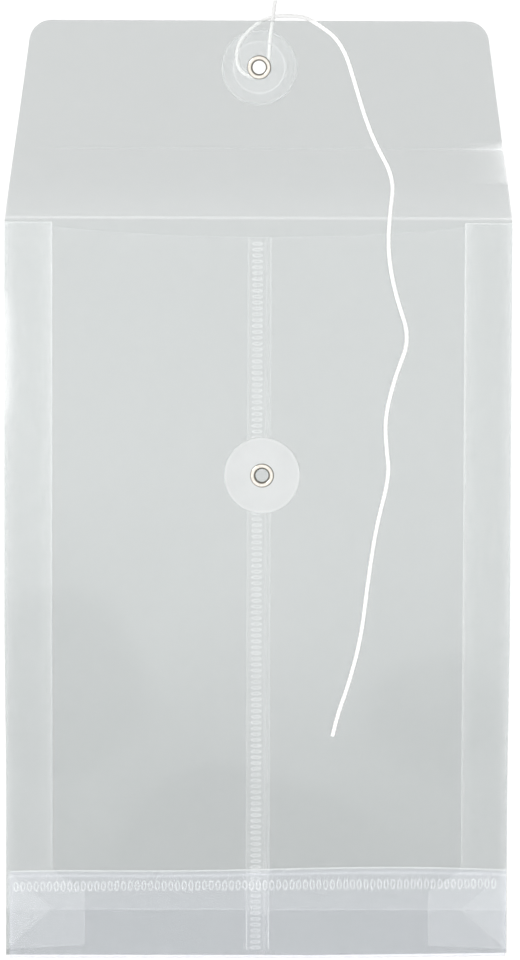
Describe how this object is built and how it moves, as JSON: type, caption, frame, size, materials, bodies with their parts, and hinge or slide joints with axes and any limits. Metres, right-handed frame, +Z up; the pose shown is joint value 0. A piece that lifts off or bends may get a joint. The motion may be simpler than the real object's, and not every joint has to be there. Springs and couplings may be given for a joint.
{
  "type": "string tie envelope",
  "caption": "Clear film open-end envelope with pleated side gussets, a welded centre seam, a scored flap, riveted buttons and a tie string.",
  "frame": {"origin": "centre of the open envelope's outline, on the table under the back panel", "axes": "+X across the envelope to the right, +Y from the bottom fold towards the flap, +Z up out of the front"},
  "size_m": [0.1588, 0.3009, 0.0082],
  "materials": {
    "film": "clear flexible film, glossy",
    "weld": "fused film, glossy",
    "button": "milky translucent plastic, satin",
    "eyelet": "nickel plated",
    "string": "twisted white thread"
  },
  "bodies": {
    "body": {"back_panel": "film", "front_panel_left": "film", "front_panel_right": "film", "left_gusset_back_leaf": "film", "left_gusset_front_leaf": "film", "right_gusset_back_leaf": "film", "right_gusset_front_leaf": "film", "left_bottom_tuck": "film", "right_bottom_tuck": "film", "bottom_flap": "film", "seam_welds": "weld", "hem_welds": "weld", "body_eyelet": "eyelet", "body_backing_washer": "button", "string_bridge": "string", "string_lower": "string"},
    "shoulder": {"flap_shoulder": "film"},
    "tongue": {"flap_tongue": "film", "flap_eyelet": "eyelet", "flap_backing_washer": "button", "string_tail": "string", "string_turn": "string", "string_upper": "string"},
    "flap_disc": {"flap_button": "button"},
    "body_disc": {"body_button": "button"}
  },
  "joints": [
    {"name": "flap_fold", "type": "hinge", "parent": "body", "child": "shoulder", "pos_m": [0, 0.0857, 0.0002], "axis": [1, 0, 0], "range_deg": [0, 86.5], "deforming": ["string_bridge"]},
    {"name": "flap_score", "type": "hinge", "parent": "shoulder", "child": "tongue", "pos_m": [0, 0.09668, 0.00087], "axis": [1, 0, 0], "range_deg": [0, 90], "deforming": ["string_bridge"]},
    {"name": "flap_button_turn", "type": "hinge", "parent": "tongue", "child": "flap_disc", "pos_m": [0, 0.13271, 0.00307], "axis": [0, -0.061, 0.9981], "continuous": true},
    {"name": "body_button_turn", "type": "hinge", "parent": "body", "child": "body_disc", "pos_m": [0.00125, 0.00492, 0.00443], "axis": [0, -0.0219, 0.9998], "continuous": true}
  ]
}
